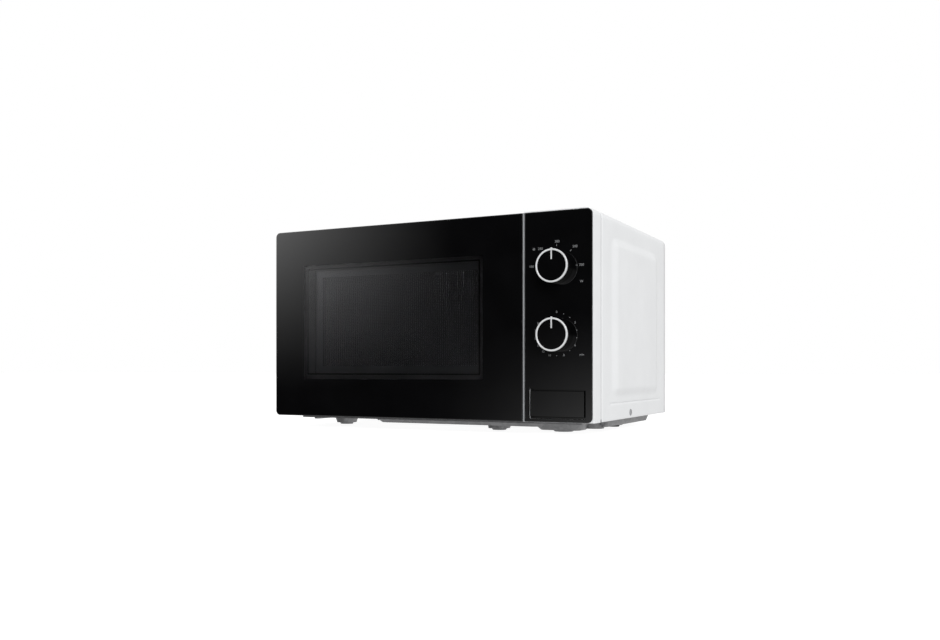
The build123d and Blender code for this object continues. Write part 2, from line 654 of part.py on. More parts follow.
# Lever that the plunger lifts, reaching under the lower hook
with BuildPart() as release_lever:
    block(136, 142, 34, 40, 10, 150)
    block(136, 152, 31.6, 35, 14, 26)
    block(121, 138, 39.5, 43.5, 52, 56)
    block(136, 142, 39, 43.5, 48, 60)
release_lever.part.label = "release_lever"

# ---------------------------------------------------------------- door

with BuildPart() as door_glass:
    with BuildSketch(front_plane(0)):
        area(-HALF_FRONT, DOOR_RIGHT, 0, FRONT_HEIGHT)
    extrude(amount=-GLASS_THICK)
    fillet(door_glass.edges().filter_by(Axis.Y).group_by(Axis.X)[0], FRONT_RADIUS)
    chamfer(door_glass.faces().sort_by(Axis.Y)[0].edges(), EDGE_BEVEL)
door_glass.part.label = "door_glass"

# Black moulded frame: a rim, a solid hinge stile and a stepped recess round the window
RIM = 3.0
SLOT_REACH = 1.8
HINGE_LEVELS = (8.0, 233.0)
with BuildPart() as door_frame:
    block(-HALF_FRONT, DOOR_RIGHT, GLASS_THICK, DOOR_BACK, 0, FRONT_HEIGHT)
    fillet(door_frame.edges().filter_by(Axis.Y).group_by(Axis.X)[0], FRONT_RADIUS)
    fillet(door_frame.edges().filter_by(Axis.Z).group_by(Axis.Y)[-1].sort_by(Axis.X)[0], 8)
    block(STILE_RIGHT, DOOR_RIGHT - RIM, GLASS_THICK + 2, DOOR_BACK + 1, RIM, FRONT_HEIGHT - RIM, Mode.SUBTRACT)
    # Walls and lip of the window's recess
    block(-178, 89, GLASS_THICK + 1, 15, 43, 200)
    block(-176, 87, GLASS_THICK - 1, 13, 45, 198, Mode.SUBTRACT)
    block(-163.5, 75.2, 12, 16, 54, 189, Mode.SUBTRACT)
    for level in HINGE_LEVELS:
        # The slot is open to the back and to the left, so that the leaf stays clear as the door swings
        block(-HALF_FRONT - 1, STILE_RIGHT - 0.5, 5.4, DOOR_BACK + 1, level - SLOT_REACH, level + SLOT_REACH,
              Mode.SUBTRACT)
        rod(level_plane(level - 6), HINGE_X, HINGE_DEPTH, PIN_RADIUS + RUNNING_GAP, 12, Mode.SUBTRACT)
door_frame.part.label = "door_frame"

with BuildPart() as door_inner_panel:
    block(STILE_RIGHT + 0.3, DOOR_RIGHT - RIM - 0.3, 15.2, 16.2, RIM + 0.3, FRONT_HEIGHT - RIM - 0.3)
    block(SCREEN[0], SCREEN[1], 15, 17, SCREEN[2], SCREEN[3], Mode.SUBTRACT)
door_inner_panel.part.label = "door_inner_panel"

with BuildPart() as perforated_screen:
    block(SCREEN[0], SCREEN[1], 15.4, 16.0, SCREEN[2], SCREEN[3])
perforated_screen.part.label = "perforated_screen"

with BuildPart() as inner_window:
    with BuildSketch(front_plane(16.3)):
        area(-158, 76, 60, 185, 4)
    extrude(amount=-0.5)
inner_window.part.label = "inner_window"

# Moulded cover over the choke channel round the back of the door
with BuildPart() as choke_cover:
    block(STILE_RIGHT + 0.3, DOOR_RIGHT - RIM - 0.3, 24.3, DOOR_BACK, RIM + 0.3, FRONT_HEIGHT - RIM - 0.3)
    block(-158, 76, 17.2, 25, 60, 185)
    with BuildSketch(front_plane(15)):
        area(-156, 74, 62, 183, 5)
    extrude(amount=-20, mode=Mode.SUBTRACT)
    for height in HOOK_HEIGHTS:
        block(HOOK_X - 5, HOOK_X + 5, 22, 28, height - 11, height + 11, Mode.SUBTRACT)
    # Seat of the latch spring
    block(119, 129, 17, 25, 206, 209)
choke_cover.part.label = "choke_cover"

# Sliding latch with two hooks
with BuildPart() as door_latch:
    block(HOOK_X - 2.5, HOOK_X + 2.5, 17.4, 22.6, 55, 185)
    for height in HOOK_HEIGHTS:
        with BuildSketch(side_plane(HOOK_X - 2.5)):
            with BuildLine():
                Polyline(
                    (22, height + 4),
                    (41, height + 4),
                    (45.5, height - 3),
                    (44, height - 8),
                    (39, height - 8),
                    (38, height - 4),
                    (22, height - 4),
                    close=True,
                )
            make_face()
        extrude(amount=5)
door_latch.part.label = "door_latch"

# Flat spring that pushes the latch down: a strip bent to and fro between the latch and its seat
SPRING_LOW = 185.4
SPRING_HIGH = 205.6
SPRING_BENDS = 6
with BuildPart() as latch_spring:
    pitch = (SPRING_HIGH - SPRING_LOW - 0.5) / (SPRING_BENDS - 1)
    for bend in range(SPRING_BENDS):
        height = SPRING_LOW + bend * pitch
        block(HOOK_X - 3, HOOK_X + 3, 18, 22, height, height + 0.5)
    for bend in range(SPRING_BENDS - 1):
        height = SPRING_LOW + bend * pitch
        edge = HOOK_X + (2.5 if bend % 2 else -3)
        block(edge, edge + 0.5, 18, 22, height, height + pitch + 0.5)
latch_spring.part.label = "latch_spring"


def hinge(level):
    """Leaf from the front plate to the pivot, its fixing flange, and the pin on the leaf."""
    block(HINGE_X - 4.5, HINGE_X + 4.5, HINGE_DEPTH, FRAME_FRONT, level - 1, level + 1)
    rod(level_plane(level - 1), HINGE_X, HINGE_DEPTH, 4.5, 2)
    rod(level_plane(level - 5.5), HINGE_X, HINGE_DEPTH, PIN_RADIUS, 11)
    block(HINGE_X - 4.5, HINGE_X + 10, FRAME_FRONT - 1.2, FRAME_FRONT, level - 7, level + 7)


with BuildPart() as door_hinges:
    for level in HINGE_LEVELS:
        hinge(level)
door_hinges.part.label = "door_hinges"

# ---------------------------------------------------------------- turntable

with BuildPart() as turntable_coupler:
    rod(level_plane(CAVITY_FLOOR + 2), TABLE_X, TABLE_DEPTH, 9, 8)
    with BuildSketch(level_plane(CAVITY_FLOOR + 8)) as lobes:
        with Locations((TABLE_X, TABLE_DEPTH)):
            Circle(9)
            with PolarLocations(11, 3):
                Circle(5)
    extrude(lobes.sketch, amount=TRAY_UNDERSIDE - 0.3 - CAVITY_FLOOR - 8)
    rod(level_plane(0), TABLE_X, TABLE_DEPTH, SHAFT_RADIUS, CAVITY_FLOOR + 4)
turntable_coupler.part.label = "turntable_coupler"

# Shallow glass dish with a raised rim
with BuildPart() as glass_tray:
    axis_point = (TABLE_X, FRONT_Y + TABLE_DEPTH, PANEL_Z + TRAY_UNDERSIDE)
    with BuildSketch(Plane(origin=axis_point, x_dir=(1, 0, 0), z_dir=(0, -1, 0))):
        with BuildLine():
            Polyline((0, 0), (112, 0), (120, 1.5), (126, 6), (TRAY_RADIUS, 9.5), (TRAY_RADIUS - 2, 11),
                     (122.5, 9), (116, 5.2), (110, 4), (0, 4), close=True)
        make_face()
    revolve(axis=Axis(axis_point, (0, 0, 1)))
glass_tray.part.label = "glass_tray"

with BuildPart() as roller_ring:
    with BuildSketch(level_plane(ROLLER_HEIGHT - 2)) as band:
        with Locations((TABLE_X, TABLE_DEPTH)):
            Circle(90)
            Circle(84, mode=Mode.SUBTRACT)
    extrude(band.sketch, amount=4)
    for angle in ROLLER_ANGLES:
        outward = (math.cos(math.radians(angle)), math.sin(math.radians(angle)), 0)
        hub = Plane(origin=(TABLE_X, FRONT_Y + TABLE_DEPTH, PANEL_Z + ROLLER_HEIGHT), z_dir=outward)
        rod(hub.offset(88), 0, 0, 1.5, 13)
roller_ring.part.label = "roller_ring"

rollers = []
for number, angle in enumerate(ROLLER_ANGLES, 1):
    outward = (math.cos(math.radians(angle)), math.sin(math.radians(angle)), 0)
    hub = Plane(origin=(TABLE_X, FRONT_Y + TABLE_DEPTH, PANEL_Z + ROLLER_HEIGHT), z_dir=outward)
    with BuildPart() as roller:
        rod(hub.offset(ROLLER_TRACK - 3), 0, 0, ROLLER_RADIUS, 6)
        fillet(roller.edges(), 0.8)
        rod(hub.offset(ROLLER_TRACK - 5), 0, 0, 1.5 + RUNNING_GAP, 10, Mode.SUBTRACT)
    roller.part.label = f"roller_{number}"
    rollers.append(roller)

pieces = [
    outer_cabinet, rear_panel, cord_bush, rear_spacers, base_pan, front_feet, rear_feet, rear_screws,
    side_screws, front_plate, cavity_liner, waveguide_cover, waveguide, magnetron_frame, magnetron_tube,
    magnetron_fins, filter_box, transformer_core, transformer_windings, capacitor,
    capacitor_clamp, hv_diode, fan_shroud, fan_motor, fan_blade, lamp_socket, lamp_bulb, thermal_cutout,
    noise_filter_board, interlock_bracket, interlock_switches, timer_unit, power_selector,
    turntable_motor, control_box, control_panel, panel_trim, power_knob, power_knob_ring,
    power_knob_pointer, timer_knob, timer_knob_ring, timer_knob_pointer, open_button, release_lever,
    door_glass, door_frame, door_inner_panel, perforated_screen, inner_window, choke_cover, door_latch,
    latch_spring, door_hinges, turntable_coupler, glass_tray, roller_ring, *rollers,
]

os.makedirs("parts", exist_ok=True)
for piece in pieces:
    export_step(piece.part, f"parts/{piece.part.label}.step")
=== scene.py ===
import json
import math

import bmesh
import bpy
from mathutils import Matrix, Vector


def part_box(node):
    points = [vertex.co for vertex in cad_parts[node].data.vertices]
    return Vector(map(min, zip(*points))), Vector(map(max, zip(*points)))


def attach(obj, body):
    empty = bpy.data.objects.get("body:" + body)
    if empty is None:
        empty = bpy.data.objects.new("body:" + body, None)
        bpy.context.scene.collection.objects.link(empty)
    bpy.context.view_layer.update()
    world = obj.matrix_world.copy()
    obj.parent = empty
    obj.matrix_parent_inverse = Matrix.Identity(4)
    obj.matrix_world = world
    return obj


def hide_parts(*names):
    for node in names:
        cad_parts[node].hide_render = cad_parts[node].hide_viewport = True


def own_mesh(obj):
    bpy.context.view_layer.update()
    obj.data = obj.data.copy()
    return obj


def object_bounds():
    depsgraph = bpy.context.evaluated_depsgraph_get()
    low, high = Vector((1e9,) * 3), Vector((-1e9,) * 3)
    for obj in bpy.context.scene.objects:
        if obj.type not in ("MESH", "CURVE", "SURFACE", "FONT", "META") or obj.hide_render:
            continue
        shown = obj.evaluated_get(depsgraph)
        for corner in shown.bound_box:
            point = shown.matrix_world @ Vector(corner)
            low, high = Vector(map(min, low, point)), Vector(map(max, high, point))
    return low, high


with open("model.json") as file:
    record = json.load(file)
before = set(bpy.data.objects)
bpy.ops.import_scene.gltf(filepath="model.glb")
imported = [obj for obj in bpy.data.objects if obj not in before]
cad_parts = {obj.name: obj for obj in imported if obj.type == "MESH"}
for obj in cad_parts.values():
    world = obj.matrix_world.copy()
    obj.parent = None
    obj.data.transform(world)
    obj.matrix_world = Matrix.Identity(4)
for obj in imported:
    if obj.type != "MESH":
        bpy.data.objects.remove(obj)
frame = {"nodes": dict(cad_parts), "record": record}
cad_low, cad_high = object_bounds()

# Places on the front are given in millimetres as x, depth behind the glass and height above the
# glass's lower edge, as a person would measure them, and turned into the frame's metres by at().
MM = 0.001
GLASS_LOW, GLASS_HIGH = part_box("door_glass")
FRONT_Y = GLASS_LOW.y
FRONT_Z = GLASS_LOW.z


def at(x, depth, height):
    """World point from x, depth and height in millimetres."""
    return Vector((x * MM, FRONT_Y + depth * MM, FRONT_Z + height * MM))


def from_front(point):
    """x, depth and height in millimetres of a world point."""
    return point.x / MM, (point.y - FRONT_Y) / MM, (point.z - FRONT_Z) / MM


# ---------------------------------------------------------------- camera, stage and lights

CAMERA_PLACE = (559.2, -1020.0, 60.6)
CAMERA_YAW = 27.54
CAMERA_LENS = 36.46
CAMERA_SHIFT = (0.0319, 0.0523)
# Strength of the soft light from below and from above
FILL_LOW, FILL_HIGH = 0.58, 0.84
# The two glows that the gloss reflects: their strength, and the directions between which each one rises
LEFT_GLOW = 2.75
LEFT_GLOW_X, LEFT_GLOW_Z = (-0.43, -0.60), (-0.04, 0.14)
FLOOR_GLOW = 1.0
FLOOR_GLOW_X, FLOOR_GLOW_Z = (-0.50, -0.31), (0.08, -0.055)
FLOOR_REACH = 12.0


def make_camera():
    """Level camera off the right front corner, shifted so that uprights stay upright."""
    data = bpy.data.cameras.new("camera")
    data.lens = CAMERA_LENS
    data.sensor_width = 36
    data.sensor_fit = "HORIZONTAL"
    data.shift_x, data.shift_y = CAMERA_SHIFT
    data.clip_start = 0.01
    data.clip_end = 50
    camera = bpy.data.objects.new("camera", data)
    camera.location = at(*CAMERA_PLACE)
    camera.rotation_euler = (math.radians(90), 0, math.radians(CAMERA_YAW))
    bpy.context.collection.objects.link(camera)
    bpy.context.scene.camera = camera


def light_card(name, place, aim, size, power):
    """Soft rectangular area light that points at a place."""
    data = bpy.data.lights.new(name, "AREA")
    data.shape = "RECTANGLE"
    data.size, data.size_y = size
    data.energy = power
    card = bpy.data.objects.new(name, data)
    card.location = place
    card.rotation_euler = (Vector(aim) - Vector(place)).to_track_quat("-Z", "Y").to_euler()
    bpy.context.collection.objects.link(card)


def make_world():
    """White backdrop, soft fill light, and a darker studio with two glows for the gloss to reflect."""
    world = bpy.data.worlds.new("studio")
    bpy.context.scene.world = world
    world.use_nodes = True
    tree = world.node_tree
    tree.nodes.clear()
    nodes, links = tree.nodes, tree.links
    coords = nodes.new("ShaderNodeTexCoord")
    split = nodes.new("ShaderNodeSeparateXYZ")
    links.new(coords.outputs["Generated"], split.inputs[0])

    def fade(axis, start, end, low=0.0, high=1.0, kind="LINEAR"):
        """Ramp along one axis of the direction."""
        ramp = nodes.new("ShaderNodeMapRange")
        ramp.interpolation_type = kind
        for socket, value in (("From Min", start), ("From Max", end), ("To Min", low), ("To Max", high)):
            ramp.inputs[socket].default_value = value
        links.new(split.outputs[axis], ramp.inputs["Value"])
        return ramp.outputs[0]

    def math_node(operation, first, second):
        """Arithmetic on two sockets, or on a socket and a number."""
        made = nodes.new("ShaderNodeMath")
        made.operation = operation
        links.new(first, made.inputs[0])
        if isinstance(second, (int, float)):
            made.inputs[1].default_value = second
        else:
            links.new(second, made.inputs[1])
        return made.outputs[0]

    # Glow to the left of the front, and the lit floor to the right of it
    left_glow = math_node("MULTIPLY", fade("X", *LEFT_GLOW_X), fade("Z", *LEFT_GLOW_Z))
    left_glow = math_node("MULTIPLY", math_node("POWER", left_glow, 2.0), LEFT_GLOW)
    floor_glow = math_node("MULTIPLY", fade("X", *FLOOR_GLOW_X), fade("Z", *FLOOR_GLOW_Z))
    floor_glow = math_node("MULTIPLY", math_node("POWER", floor_glow, 2.0), FLOOR_GLOW)
    glow = math_node("ADD", left_glow, floor_glow)
    # Brighter towards the back and overhead, and nearly dark in front
    behind = fade("Y", -0.35, 0.1, 0.02, 0.9, "SMOOTHSTEP")
    above = fade("Z", 0.25, 0.9, 0.0, 0.9, "SMOOTHSTEP")
    studio_light = math_node("MAXIMUM", math_node("MAXIMUM", behind, above), glow)
    rays = nodes.new("ShaderNodeLightPath")
    seen = nodes.new("ShaderNodeBackground")
    seen.inputs["Color"].default_value = (1, 1, 1, 1)
    seen.inputs["Strength"].default_value = 1.0
    soft = nodes.new("ShaderNodeBackground")
    soft.inputs["Color"].default_value = (1, 1, 1, 1)
    links.new(fade("Z", -0.3, 0.9, FILL_LOW, FILL_HIGH), soft.inputs["Strength"])
    studio = nodes.new("ShaderNodeBackground")
    links.new(studio_light, studio.inputs["Strength"])
    shown = nodes.new("ShaderNodeMixShader")
    links.new(rays.outputs["Is Camera Ray"], shown.inputs[0])
    links.new(soft.outputs[0], shown.inputs[1])
    links.new(seen.outputs[0], shown.inputs[2])
    pick = nodes.new("ShaderNodeMixShader")
    links.new(rays.outputs["Is Glossy Ray"], pick.inputs[0])
    links.new(shown.outputs[0], pick.inputs[1])
    links.new(studio.outputs[0], pick.inputs[2])
    out = nodes.new("ShaderNodeOutputWorld")
    links.new(pick.outputs[0], out.inputs["Surface"])


def make_floor():
    """White floor that glows by itself, so that the shadow on it stays pale.

    Only the view sees it: it is left out of reflections, of bounced light and of the view through glass."""
    mesh = bpy.data.meshes.new("floor")
    corners = ((-1, -1), (1, -1), (1, 1), (-1, 1))
    mesh.from_pydata([(x * FLOOR_REACH, y * FLOOR_REACH, cad_low.z) for x, y in corners], [], [(0, 1, 2, 3)])
    floor = bpy.data.objects.new("floor", mesh)
    bpy.context.collection.objects.link(floor)
    surface = bpy.data.materials.new("floor")
    surface.use_nodes = True
    shader = surface.node_tree.nodes["Principled BSDF"]
    shader.inputs["Base Color"].default_value = (0.25, 0.25, 0.25, 1)
    shader.inputs["Roughness"].default_value = 0.9
    shader.inputs["Emission Color"].default_value = (1, 1, 1, 1)
    shader.inputs["Emission Strength"].default_value = 0.92
    mesh.materials.append(surface)
    floor.visible_glossy = False
    floor.visible_diffuse = False
    floor.visible_transmission = False


make_camera()
make_world()
make_floor()
bpy.context.scene.view_settings.view_transform = "Standard"
light_card("key", place=(2.2, -2.5, 1.7), aim=(0.1, 0, 0.1), size=(2.2, 2.2), power=70)
light_card("back", place=(-2.2, 2.4, 2.0), aim=(0, 0, 0.1), size=(1.6, 1.6), power=22)


# ---------------------------------------------------------------- materials

def base_material(name, color, roughness, metallic=0.0, coat=0.0, **more):
    """Principled material whose uniform values are set on its own sockets."""
    made = bpy.data.materials.new(name)
    made.use_nodes = True
    shader = made.node_tree.nodes["Principled BSDF"]
    shader.inputs["Base Color"].default_value = (*color, 1)
    shader.inputs["Roughness"].default_value = roughness
    shader.inputs["Metallic"].default_value = metallic
    shader.inputs["Coat Weight"].default_value = coat
    for socket, value in more.items():
        shader.inputs[socket.replace("_", " ")].default_value = value
    return made


def noise(made, scale, detail=4.0, stretch=(1, 1, 1)):
    """Noise in the object's own coordinates, with scale in cycles per metre."""
    nodes, links = made.node_tree.nodes, made.node_tree.links
    coords = nodes.new("ShaderNodeTexCoord")
    mapping = nodes.new("ShaderNodeMapping")
    mapping.inputs["Scale"].default_value = stretch
    texture = nodes.new("ShaderNodeTexNoise")
    texture.inputs["Scale"].default_value = scale
    texture.inputs["Detail"].default_value = detail
    links.new(coords.outputs["Object"], mapping.inputs["Vector"])
    links.new(mapping.outputs["Vector"], texture.inputs["Vector"])
    return texture.outputs["Fac"]


def spread(made, value, low, high, socket):
    """Turn a 0 to 1 pattern into a range of values on one socket."""
    nodes, links = made.node_tree.nodes, made.node_tree.links
    ramp = nodes.new("ShaderNodeMapRange")
    ramp.inputs["From Min"].default_value = 0.3
    ramp.inputs["From Max"].default_value = 0.7
    ramp.inputs["To Min"].default_value = low
    ramp.inputs["To Max"].default_value = high
    links.new(value, ramp.inputs["Value"])
    links.new(ramp.outputs[0], nodes["Principled BSDF"].inputs[socket])


def tint(made, value, dark, light):
    """Colour that wanders between two shades along a pattern."""
    nodes, links = made.node_tree.nodes, made.node_tree.links
    ramp = nodes.new("ShaderNodeValToRGB")
    ramp.color_ramp.elements[0].position = 0.3
    ramp.color_ramp.elements[1].position = 0.7
    ramp.color_ramp.elements[0].color = (*dark, 1)
    ramp.color_ramp.elements[1].color = (*light, 1)
    links.new(value, ramp.inputs[0])
    links.new(ramp.outputs[0], nodes["Principled BSDF"].inputs["Base Color"])


def relief(made, value, strength, height):
    """Fine bump from a pattern, with its height in metres."""
    nodes, links = made.node_tree.nodes, made.node_tree.links
    bump = nodes.new("ShaderNodeBump")
    bump.inputs["Strength"].default_value = strength
    bump.inputs["Distance"].default_value = height
    links.new(value, bump.inputs["Height"])
    links.new(bump.outputs[0], nodes["Principled BSDF"].inputs["Normal"])


def enamel(name, dark, light, roughness):
    """Sprayed enamel: slight mottling and the soft ripple of sprayed paint."""
    made = base_material(name, light, roughness, coat=0.25, Coat_Roughness=0.12)
    tint(made, noise(made, 18, 3), dark, light)
    spread(made, noise(made, 60, 4), roughness - 0.05, roughness + 0.06, "Roughness")
    relief(made, noise(made, 900, 2), 0.12, 0.00008)
    return made


def moulded(name, dark, light, roughness, grain=2600, depth=0.00006, coat=0.0):
    """Moulded plastic with a fine spark-eroded grain."""
    made = base_material(name, light, roughness, coat=coat, Coat_Roughness=0.08)
    tint(made, noise(made, 40, 4), dark, light)
    spread(made, noise(made, 120, 5), roughness - 0.04, roughness + 0.05, "Roughness")
    relief(made, noise(made, grain, 3), 0.25, depth)
    return made


def gloss_black(name, roughness):
    """Polished black with the faintest waviness and dust-dulled patches."""
    made = base_material(name, (0.003, 0.003, 0.0034), roughness, IOR=1.5)
    tint(made, noise(made, 25, 3), (0.0020, 0.0020, 0.0023), (0.0032, 0.0032, 0.0036))
    spread(made, noise(made, 80, 4), roughness * 0.7, roughness * 1.3, "Roughness")
    relief(made, noise(made, 30, 1), 0.02, 0.0002)
    return made


def galvanised(name, dark, light):
    """Zinc-coated sheet: crystal spangle over fine rolling lines."""
    made = base_material(name, light, 0.42, metallic=0.55)
    nodes, links = made.node_tree.nodes, made.node_tree.links
    coords = nodes.new("ShaderNodeTexCoord")
    cells = nodes.new("ShaderNodeTexVoronoi")
    cells.inputs["Scale"].default_value = 260
    links.new(coords.outputs["Object"], cells.inputs["Vector"])
    shade = nodes.new("ShaderNodeSeparateColor")
    links.new(cells.outputs["Color"], shade.inputs[0])
    tint(made, shade.outputs[0], dark, light)
    spread(made, shade.outputs[1], 0.40, 0.50, "Roughness")
    relief(made, noise(made, 300, 4, (1, 8, 1)), 0.15, 0.00008)
    return made


def metal(name, dark, light, roughness):
    """Bare or plated metal with a fine grain."""
    made = base_material(name, light, roughness, metallic=1.0)
    tint(made, noise(made, 90, 4), dark, light)
    spread(made, noise(made, 400, 4), roughness - 0.07, roughness + 0.1, "Roughness")
    relief(made, noise(made, 800, 2), 0.1, 0.00004)
    return made


def silvered(name, dark, light, roughness):
    """Bright silver paint: fine flakes in a satin coat."""
    made = base_material(name, light, roughness, metallic=0.35, coat=0.3, Coat_Roughness=0.2)
    tint(made, noise(made, 1500, 2), dark, light)
    spread(made, noise(made, 300, 3), roughness - 0.05, roughness + 0.08, "Roughness")
    relief(made, noise(made, 2200, 2), 0.1, 0.00003)
    return made


def clear(name, color, roughness, ripple):
    """Clear glass or film, with a slight ripple where ripple isn't 0."""
    made = base_material(name, color, roughness, Transmission_Weight=1.0, IOR=1.45)
    tint(made, noise(made, 30, 2), tuple(0.97 * share for share in color), color)
    if ripple:
        relief(made, noise(made, ripple, 2), 0.05, 0.0001)
    return made


def wire_winding():
    """Varnished copper wire wound in close level turns."""
    made = base_material("copper", (0.5, 0.2, 0.08), 0.3, metallic=0.8, coat=0.5)
    nodes, links = made.node_tree.nodes, made.node_tree.links
    coords = nodes.new("ShaderNodeTexCoord")
    turns = nodes.new("ShaderNodeTexWave")
    turns.wave_type = "BANDS"
    turns.bands_direction = "Z"
    turns.inputs["Scale"].default_value = 180
    turns.inputs["Distortion"].default_value = 0.4
    links.new(coords.outputs["Object"], turns.inputs["Vector"])
    tint(made, turns.outputs["Fac"], (0.24, 0.08, 0.03), (0.6, 0.27, 0.12))
    relief(made, turns.outputs["Fac"], 0.8, 0.0004)
    return made


def lamination(name, dark, light):
    """Stack of varnished steel sheets, seen as fine upright lines."""
    made = base_material(name, light, 0.45, metallic=0.6)
    nodes, links = made.node_tree.nodes, made.node_tree.links
    coords = nodes.new("ShaderNodeTexCoord")
    sheets = nodes.new("ShaderNodeTexWave")
    sheets.bands_direction = "Y"
    sheets.inputs["Scale"].default_value = 300
    sheets.inputs["Distortion"].default_value = 0.2
    links.new(coords.outputs["Object"], sheets.inputs["Vector"])
    tint(made, sheets.outputs["Fac"], dark, light)
    relief(made, sheets.outputs["Fac"], 0.5, 0.0002)
    return made


def speckled(name, dark, light, roughness, scale):
    """Matt surface with fine flecks."""
    made = base_material(name, light, roughness)
    tint(made, noise(made, scale, 8), dark, light)
    spread(made, noise(made, scale * 2, 4), roughness - 0.1, roughness + 0.1, "Roughness")
    relief(made, noise(made, scale * 3, 4), 0.3, 0.0001)
    return made


def without_shine(made):
    """The same material with no reflection at its surface."""
    made.node_tree.nodes["Principled BSDF"].inputs["Specular IOR Level"].default_value = 0.0
    return made


WHITE_LOW, WHITE_HIGH = (0.83, 0.84, 0.85), (0.87, 0.88, 0.89)
looks = {
    "white_paint": enamel("white_paint", WHITE_LOW, WHITE_HIGH, 0.36),
    "white_plastic": moulded("white_plastic", WHITE_LOW, WHITE_HIGH, 0.32, 1800, 0.00003, coat=0.2),
    "galvanised_steel": galvanised("galvanised_steel", (0.30, 0.305, 0.31), (0.33, 0.335, 0.34)),
    "screw_steel": metal("screw_steel", (0.45, 0.46, 0.47), (0.62, 0.63, 0.64), 0.3),
    "cavity_paint": enamel("cavity_paint", (0.50, 0.50, 0.49), (0.56, 0.56, 0.55), 0.4),
    "printed_glass": gloss_black("printed_glass", 0.03),
    "black_gloss": gloss_black("black_gloss", 0.05),
    "black_plastic": moulded("black_plastic", (0.010, 0.010, 0.011), (0.018, 0.018, 0.019), 0.42),
    "black_paint": enamel("black_paint", (0.008, 0.008, 0.008), (0.013, 0.013, 0.013), 0.38),
    "silver_trim": silvered("silver_trim", (0.80, 0.81, 0.82), (0.90, 0.91, 0.92), 0.34),
    "clear_film": clear("clear_film", (0.45, 0.45, 0.46), 0.02, 0),
    "tray_glass": clear("tray_glass", (0.92, 0.97, 0.96), 0.02, 60),
    "bulb_glass": clear("bulb_glass", (0.98, 0.96, 0.9), 0.05, 80),
    "foot_plastic": moulded("foot_plastic", (0.24, 0.24, 0.25), (0.30, 0.30, 0.31), 0.5),
    "foot_rubber": speckled("foot_rubber", (0.010, 0.010, 0.010), (0.022, 0.022, 0.022), 0.8, 500),
    "copper": wire_winding(),
    "core_iron": lamination("core_iron", (0.05, 0.05, 0.05), (0.16, 0.16, 0.17)),
    "aluminium": metal("aluminium", (0.62, 0.63, 0.64), (0.78, 0.79, 0.8), 0.35),
    "anode_copper": metal("anode_copper", (0.42, 0.2, 0.1), (0.66, 0.36, 0.2), 0.35),
    "mica": speckled("mica", (0.42, 0.38, 0.29), (0.62, 0.58, 0.47), 0.5, 220),
    "circuit_board": speckled("circuit_board", (0.16, 0.10, 0.03), (0.26, 0.18, 0.07), 0.5, 160),
    "white_nylon": moulded("white_nylon", (0.70, 0.70, 0.67), (0.78, 0.78, 0.75), 0.45),
    "dark_plastic": moulded("dark_plastic", (0.02, 0.02, 0.022), (0.035, 0.035, 0.038), 0.45),
}
# Looks of single pieces that differ from their slot's, and of the pieces made below
looks["window_plate"] = moulded("window_plate", (0.046, 0.046, 0.048), (0.052, 0.052, 0.054), 0.07,
                                900, 0.000001, coat=0.7)
looks["trim_grey"] = silvered("trim_grey", (0.30, 0.31, 0.32), (0.36, 0.37, 0.38), 0.34)
looks["recess_black"] = without_shine(moulded("recess_black", (0.050, 0.050, 0.052),
                                              (0.056, 0.056, 0.058), 0.7, 900, 0.000001))
looks["base_zinc"] = galvanised("base_zinc", (0.22, 0.22, 0.225), (0.26, 0.26, 0.265))
looks["window_glass"] = clear("window_glass", (0.72, 0.72, 0.74), 0.0, 0)
# Near-black matte with no shine for the window's groove: painted shade for the shadow inside it
looks["painted_groove_shade"] = without_shine(speckled("painted_groove_shade", (0.001, 0.001, 0.001), (0.002, 0.002, 0.002), 0.85, 400))
# Near-black for the seam, the screw rims and the seam notches: painted shade for the shadow in these gaps
# and recesses
looks["painted_gap_shade"] = speckled("painted_gap_shade", (0.012, 0.012, 0.012), (0.02, 0.02, 0.02), 0.8, 300)
looks["white_print"] = speckled("white_print", (0.20, 0.205, 0.21), (0.26, 0.265, 0.27), 0.5, 700)
LOOK_OF = {"door_inner_panel": "window_plate", "panel_trim": "trim_grey", "door_frame": "recess_black",
           "base_pan": "base_zinc"}
SLOT_OF = {part["node"]: part["material_slot"] for part in frame["record"]["subparts"]}
for node, piece in frame["nodes"].items():
    for holder in piece.material_slots:
        holder.material = looks[LOOK_OF.get(node, SLOT_OF[node])]


# ---------------------------------------------------------------- mesh helpers

def new_piece(name, mesh, body, look):
    """Link a mesh as a piece of one body, with its material and finish."""
    mesh.materials.append(looks[look])
    piece = bpy.data.objects.new(name, mesh)
    bpy.context.collection.objects.link(piece)
    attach(piece, body)
    return piece


def mesh_of(name, verts, faces):
    """Closed flat-shaded mesh with its faces turned outwards."""
    mesh = bpy.data.meshes.new(name)
    mesh.from_pydata([tuple(v) for v in verts], [], faces)
    builder = bmesh.new()
    builder.from_mesh(mesh)
    bmesh.ops.remove_doubles(builder, verts=builder.verts, dist=1e-7)
    bmesh.ops.recalc_face_normals(builder, faces=builder.faces)
    builder.to_mesh(mesh)
    builder.free()
    return mesh


def walls(rings, count, closed=True):
    """Faces between rings of count points each, and from the last ring back to the first if closed."""
    faces = []
    for ring in range(rings if closed else rings - 1):
        after = (ring + 1) % rings
        for step in range(count):
            following = (step + 1) % count
            faces.append((ring * count + step, ring * count + following,
                          after * count + following, after * count + step))
    return faces


def slab(count):
    """Faces of a flat slab between two outlines of count points each."""
    return [tuple(range(count)), tuple(range(count, 2 * count)), *walls(2, count, closed=False)]


def rounded_outline(x0, x1, z0, z1, radii, steps=8):
    """Closed outline of a rectangle, anticlockwise from the lower left, with a radius per corner."""
    corners = ((x0, z0, 180), (x1, z0, 270), (x1, z1, 0), (x0, z1, 90))
    points = []
    for (x, z, start), radius in zip(corners, radii):
        middle_x = x + (radius if x == x0 else -radius)
        middle_z = z + (radius if z == z0 else -radius)
        for step in range(steps + 1):
            angle = math.radians(start + 90 * step / steps)
            points.append((middle_x + radius * math.cos(angle), middle_z + radius * math.sin(angle)))
    return points


